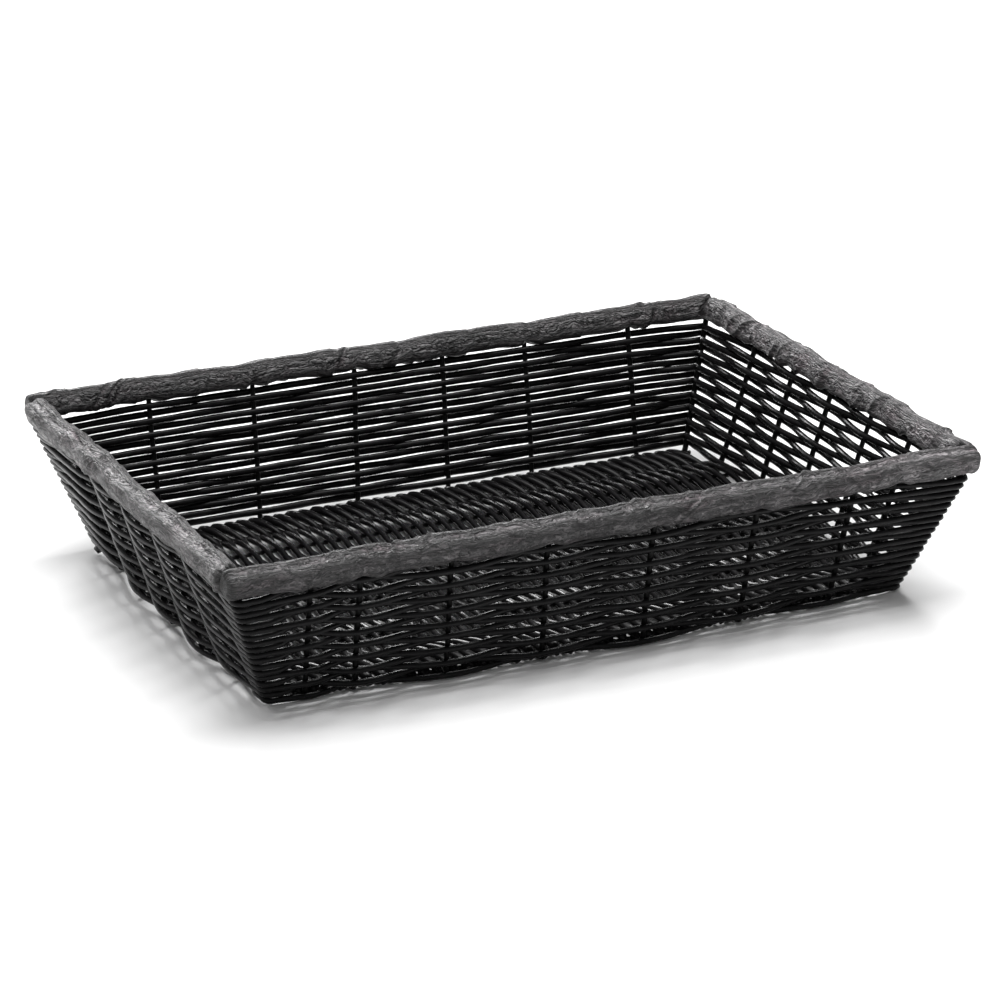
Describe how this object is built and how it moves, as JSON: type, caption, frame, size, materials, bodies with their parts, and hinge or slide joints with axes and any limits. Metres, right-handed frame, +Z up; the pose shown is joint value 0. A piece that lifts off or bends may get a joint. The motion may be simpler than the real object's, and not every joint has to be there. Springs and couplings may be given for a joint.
{
  "type": "bread basket",
  "caption": "Shallow rectangular woven tray for serving bread, with leaning woven walls, a woven base and a rim bound in broad ribbon.",
  "frame": {"origin": "on the resting plane, under the middle of the basket", "axes": "+X along the length, +Z up, -Y the front long side"},
  "size_m": [0.5022, 0.357, 0.1011],
  "materials": {
    "rod": "stained black and lacquered, satin gloss, round peeled rods",
    "stake": "stained black, satin",
    "rim_core": "plain flat rods, hidden under the ribbon",
    "ribbon": "dark grey-brown grained strip, satin, creased where it is wrapped"
  },
  "bodies": {
    "root": {"base_stick_1": "stake", "base_stick_2": "stake", "base_stick_3": "stake", "base_stick_4": "stake", "base_stick_5": "stake", "base_stick_6": "stake", "base_stick_7": "stake", "base_weaver_left": "rod", "base_weaver_right": "rod", "wall_row_1": "rod", "wall_row_2": "rod", "wall_row_3": "rod", "wall_row_4": "rod", "wall_row_5": "rod", "wall_row_6": "rod", "wall_row_7": "rod", "wall_row_8": "rod", "wall_row_9": "rod", "rim_rod_outer_front": "rim_core", "rim_rod_inner_front": "rim_core", "rim_rod_outer_back": "rim_core", "rim_rod_inner_back": "rim_core", "rim_rod_outer_left": "rim_core", "rim_rod_inner_left": "rim_core", "rim_rod_outer_right": "rim_core", "rim_rod_inner_right": "rim_core", "rim_wrap_front": "ribbon", "rim_wrap_back": "ribbon", "rim_wrap_left": "ribbon", "rim_wrap_right": "ribbon", "corner_post_front_left": "stake", "corner_post_front_right": "stake", "corner_post_back_right": "stake", "corner_post_back_left": "stake", "upright_front_1": "stake", "upright_front_2": "stake", "upright_front_3": "stake", "upright_front_4": "stake", "upright_front_5": "stake", "upright_front_6": "stake", "upright_front_7": "stake", "upright_front_8": "stake", "upright_right_1": "stake", "upright_right_2": "stake", "upright_right_3": "stake", "upright_right_4": "stake", "upright_right_5": "stake", "upright_back_1": "stake", "upright_back_2": "stake", "upright_back_3": "stake", "upright_back_4": "stake", "upright_back_5": "stake", "upright_back_6": "stake", "upright_left_1": "stake", "upright_left_2": "stake", "upright_left_3": "stake", "upright_left_4": "stake", "upright_left_5": "stake"}
  },
  "joints": []
}
